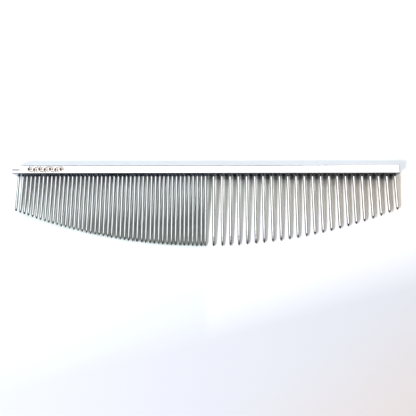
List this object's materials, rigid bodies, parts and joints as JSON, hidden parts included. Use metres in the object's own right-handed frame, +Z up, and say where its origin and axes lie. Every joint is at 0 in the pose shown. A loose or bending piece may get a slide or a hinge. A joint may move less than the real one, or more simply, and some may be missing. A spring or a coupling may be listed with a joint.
{
  "type": "steel grooming comb",
  "caption": "Straight chromed steel grooming comb with a rectangular hollow spine and round pressed-in teeth, fine on one half and coarse on the other, their tips on a shallow arc.",
  "frame": {"origin": "middle of the spine's flat underside, the face the comb rests on", "axes": "+X along the spine from the fine end to the coarse end, -Y along the teeth towards their tips, +Z up, out of the underside, when the comb lies flat"},
  "size_m": [0.19, 0.0398, 0.005],
  "materials": {
    "spine_chrome": "polished chrome plate with fine lengthwise polishing lines and light handling scratches",
    "end_plate_steel": "chrome plate over a brazed and dressed end plate",
    "fine_tooth_steel": "polished round wire with faint drawing lines",
    "coarse_tooth_steel": "polished round pin with faint drawing lines"
  },
  "bodies": {
    "root": {"spine_tube": "spine_chrome", "fine_end_plate": "end_plate_steel", "coarse_end_plate": "end_plate_steel", "fine_tooth_pair_01": "fine_tooth_steel", "fine_tooth_pair_02": "fine_tooth_steel", "fine_tooth_pair_03": "fine_tooth_steel", "fine_tooth_pair_04": "fine_tooth_steel", "fine_tooth_pair_05": "fine_tooth_steel", "fine_tooth_pair_06": "fine_tooth_steel", "fine_tooth_pair_07": "fine_tooth_steel", "fine_tooth_pair_08": "fine_tooth_steel", "fine_tooth_pair_09": "fine_tooth_steel", "fine_tooth_pair_10": "fine_tooth_steel", "fine_tooth_pair_11": "fine_tooth_steel", "fine_tooth_pair_12": "fine_tooth_steel", "fine_tooth_pair_13": "fine_tooth_steel", "fine_tooth_pair_14": "fine_tooth_steel", "fine_tooth_pair_15": "fine_tooth_steel", "fine_tooth_pair_16": "fine_tooth_steel", "fine_tooth_pair_17": "fine_tooth_steel", "fine_tooth_pair_18": "fine_tooth_steel", "fine_tooth_pair_19": "fine_tooth_steel", "fine_tooth_pair_20": "fine_tooth_steel", "fine_tooth_pair_21": "fine_tooth_steel", "fine_tooth_pair_22": "fine_tooth_steel", "fine_tooth_pair_23": "fine_tooth_steel", "coarse_tooth_01": "coarse_tooth_steel", "coarse_tooth_02": "coarse_tooth_steel", "coarse_tooth_03": "coarse_tooth_steel", "coarse_tooth_04": "coarse_tooth_steel", "coarse_tooth_05": "coarse_tooth_steel", "coarse_tooth_06": "coarse_tooth_steel", "coarse_tooth_07": "coarse_tooth_steel", "coarse_tooth_08": "coarse_tooth_steel", "coarse_tooth_09": "coarse_tooth_steel", "coarse_tooth_10": "coarse_tooth_steel", "coarse_tooth_11": "coarse_tooth_steel", "coarse_tooth_12": "coarse_tooth_steel", "coarse_tooth_13": "coarse_tooth_steel", "coarse_tooth_14": "coarse_tooth_steel", "coarse_tooth_15": "coarse_tooth_steel", "coarse_tooth_16": "coarse_tooth_steel", "coarse_tooth_17": "coarse_tooth_steel", "coarse_tooth_18": "coarse_tooth_steel", "coarse_tooth_19": "coarse_tooth_steel", "coarse_tooth_20": "coarse_tooth_steel", "coarse_tooth_21": "coarse_tooth_steel", "coarse_tooth_22": "coarse_tooth_steel", "coarse_tooth_23": "coarse_tooth_steel"}
  },
  "joints": []
}
